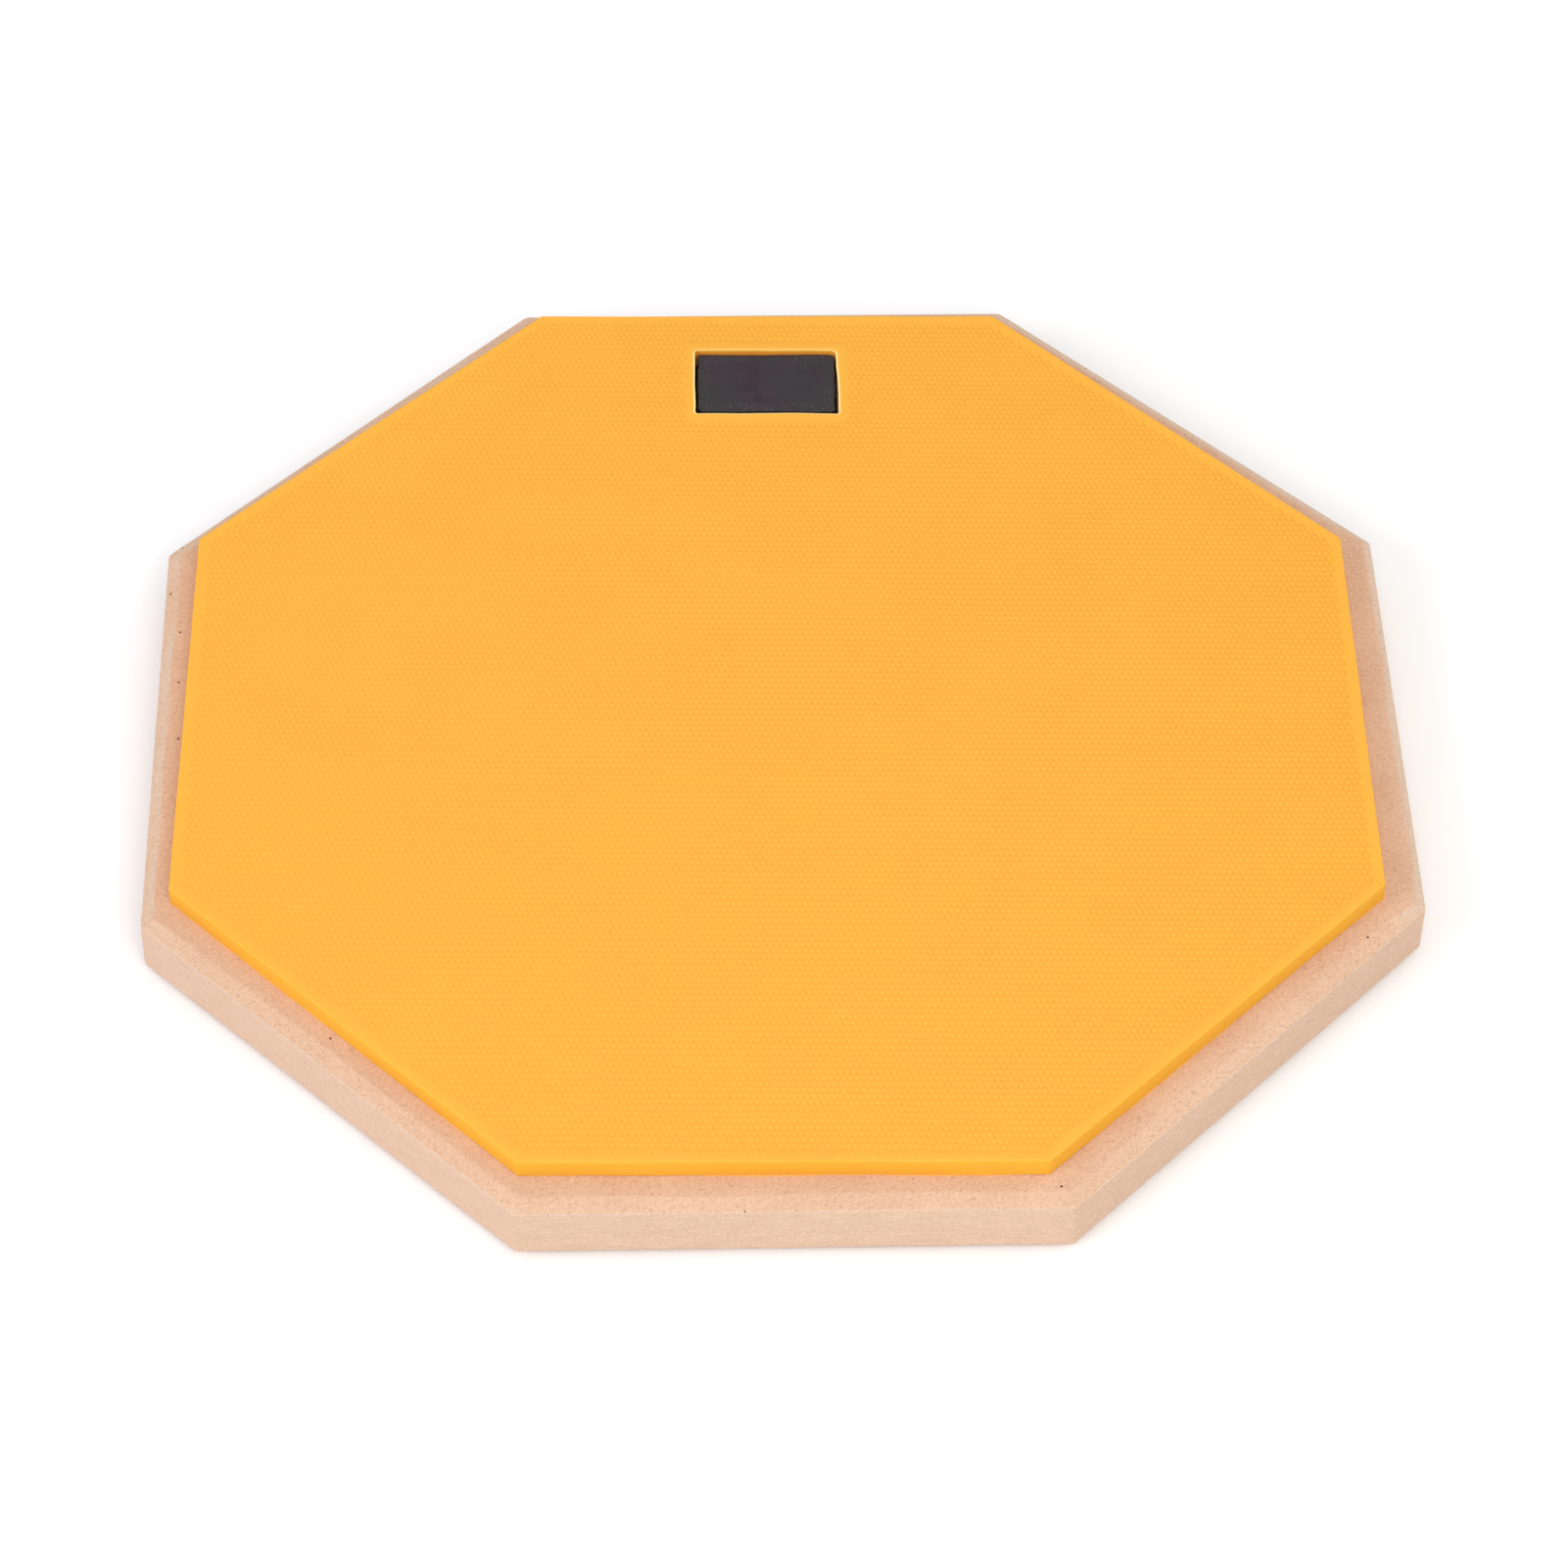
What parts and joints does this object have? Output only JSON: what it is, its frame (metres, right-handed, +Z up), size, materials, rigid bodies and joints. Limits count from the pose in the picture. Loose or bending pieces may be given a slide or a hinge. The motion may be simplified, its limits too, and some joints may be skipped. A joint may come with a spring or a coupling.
{
  "type": "drum practice pad",
  "caption": "Octagonal drum practice pad: a textured rubber playing sheet bonded to a bevelled fibreboard base, with a nameplate set in a window and rubber feet below.",
  "frame": {"origin": "on the resting plane, under the centre of the base board", "axes": "+Z up through the board's thickness, +X to the player's right, +Y away from the player towards the nameplate"},
  "size_m": [0.305, 0.305, 0.0217],
  "materials": {
    "fibreboard": "bare medium-density fibreboard, sanded",
    "orange_rubber": "matte, embossed with a fine diamond pattern",
    "adhesive": "dried contact adhesive",
    "dark_plastic": "satin",
    "foot_rubber": "matte",
    "foot_tape": "matte"
  },
  "bodies": {
    "root": {"base_board": "fibreboard", "playing_sheet": "orange_rubber", "sheet_adhesive": "adhesive", "nameplate": "dark_plastic", "nameplate_adhesive": "adhesive", "foot_front_left": "foot_rubber", "foot_front_right": "foot_rubber", "foot_back_right": "foot_rubber", "foot_back_left": "foot_rubber", "foot_adhesive_front_left": "foot_tape", "foot_adhesive_front_right": "foot_tape", "foot_adhesive_back_right": "foot_tape", "foot_adhesive_back_left": "foot_tape"}
  },
  "joints": []
}
